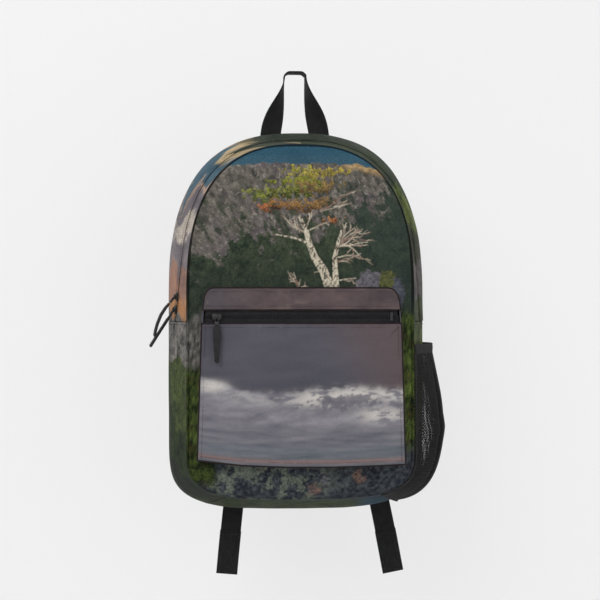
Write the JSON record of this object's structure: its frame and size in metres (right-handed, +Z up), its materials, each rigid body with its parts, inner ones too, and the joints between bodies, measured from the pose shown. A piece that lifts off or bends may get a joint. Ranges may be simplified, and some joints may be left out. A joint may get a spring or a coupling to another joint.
{
  "type": "day backpack",
  "caption": "Soft day backpack hung by its webbing carry handle, with a zipped front pocket, a net side pocket, padded shoulder straps and loose webbing tails.",
  "frame": {"origin": "hang point: the middle of the flat underside of the carry handle's crown", "axes": "+Z up, the front pocket faces -Y, +X is to the right for someone who looks at the front"},
  "size_m": [0.3561, 0.163, 0.622],
  "materials": {
    "front_print": "printed woven polyester, matt",
    "side_print": "printed woven polyester, matt",
    "pocket_print": "printed woven polyester, matt",
    "webbing": "ribbed woven webbing, matt",
    "padding": "padded air mesh, matt",
    "net": "open knitted net",
    "zip_tape": "woven zip tape with a coil",
    "slider": "dark enamel, satin",
    "buckle": "moulded acetal, satin",
    "lining": "thin woven lining",
    "board": "plain sheet",
    "piping": "bound cord"
  },
  "bodies": {
    "root": {"front_panel_lower": "front_print", "zip_gusset_rear": "side_print", "zip_gusset_front_left": "side_print", "zip_gusset_front_right": "side_print", "side_panel_left": "side_print", "side_panel_right": "side_print", "bottom_panel": "side_print", "main_zip_tape_rear": "zip_tape", "main_zip_tape_front_left": "zip_tape", "main_zip_tape_front_right": "zip_tape", "piping_front_lower": "piping", "piping_rear": "piping", "back_panel": "padding", "lining_back": "lining", "laptop_sleeve": "padding", "sleeve_binding": "webbing", "base_board": "board", "pocket_face": "pocket_print", "pocket_top_band": "pocket_print", "pocket_side_left": "side_print", "pocket_side_right": "side_print", "pocket_base": "side_print", "pocket_zip_tape_upper": "zip_tape", "pocket_zip_tape_lower": "zip_tape", "pocket_zip_stop": "slider", "bottle_pocket_net": "net", "bottle_pocket_band": "webbing", "lower_webbing_left": "webbing", "lower_webbing_right": "webbing", "corner_wing_left": "padding", "corner_wing_right": "padding", "strap_anchor_patch": "webbing"},
    "front_flap": {"front_flap_panel": "front_print", "zip_gusset_front_arch": "side_print", "main_zip_tape_front_arch": "zip_tape", "piping_front_upper": "piping"},
    "upper_slider": {"main_upper_slider": "slider"},
    "upper_pull": {"main_upper_pull_tab": "slider", "main_upper_pull_ribbon": "webbing"},
    "lower_slider": {"main_lower_slider": "slider"},
    "lower_pull": {"main_lower_pull_tab": "slider", "main_lower_pull_ribbon": "webbing"},
    "pocket_slider": {"pocket_slider": "slider"},
    "pocket_pull": {"pocket_pull_tab": "slider", "pocket_pull_ribbon": "webbing"},
    "handle": {"carry_handle": "webbing"},
    "strap_left": {"shoulder_pad_left": "padding", "strap_facing_left": "webbing", "ladder_lock_left": "buckle"},
    "strap_right": {"shoulder_pad_right": "padding", "strap_facing_right": "webbing", "ladder_lock_right": "buckle"},
    "tail_left": {"webbing_tail_left": "webbing"},
    "tail_right": {"webbing_tail_right": "webbing"}
  },
  "joints": [
    {"name": "front_flap_fold", "type": "hinge", "parent": "root", "child": "front_flap", "pos_m": [0, -0.122, -0.225], "axis": [1, 0, 0], "range_deg": [0, 92]},
    {"name": "main_upper_slider_run", "type": "slide", "parent": "root", "child": "upper_slider", "axis": [0.1011, -0.2076, 0.973], "range_m": [0, 0.038]},
    {"name": "main_lower_slider_run", "type": "slide", "parent": "root", "child": "lower_slider", "axis": [0.1011, -0.2076, 0.973], "range_m": [-0.007, 0]},
    {"name": "main_upper_pull_swing", "type": "hinge", "parent": "upper_slider", "child": "upper_pull", "pos_m": [-0.1451, -0.07132, -0.27392], "axis": [0.3332, -0.9144, -0.2297], "range_deg": [-110, 18]},
    {"name": "main_lower_pull_swing", "type": "hinge", "parent": "lower_slider", "child": "lower_pull", "pos_m": [-0.14666, -0.06812, -0.28892], "axis": [0.3332, -0.9144, -0.2297], "range_deg": [-36, 8]},
    {"name": "pocket_slider_run", "type": "slide", "parent": "root", "child": "pocket_slider", "axis": [1, 0, 0], "range_m": [0, 0.19]},
    {"name": "pocket_pull_swing", "type": "hinge", "parent": "pocket_slider", "child": "pocket_pull", "pos_m": [-0.097, -0.13177, -0.297], "axis": [1, 0, 0], "range_deg": [-150, 0]},
    {"name": "handle_swing", "type": "hinge", "parent": "root", "child": "handle", "pos_m": [0, 0, -0.0821], "axis": [1, 0, 0], "range_deg": [-75, 60]},
    {"name": "strap_left_lift", "type": "hinge", "parent": "root", "child": "strap_left", "pos_m": [0, 0.0101, -0.104], "axis": [1, 0, 0], "range_deg": [0, 28], "deforming": ["lower_webbing_left"]},
    {"name": "strap_right_lift", "type": "hinge", "parent": "root", "child": "strap_right", "pos_m": [0, 0.0101, -0.104], "axis": [1, 0, 0], "range_deg": [0, 28], "deforming": ["lower_webbing_right"]},
    {"name": "tail_left_swing", "type": "hinge", "parent": "strap_left", "child": "tail_left", "pos_m": [-0.064, 0.0229, -0.448], "axis": [1, 0, 0], "range_deg": [0, 70]},
    {"name": "tail_right_swing", "type": "hinge", "parent": "strap_right", "child": "tail_right", "pos_m": [0.089, 0.0229, -0.448], "axis": [1, 0, 0], "range_deg": [0, 70]}
  ]
}
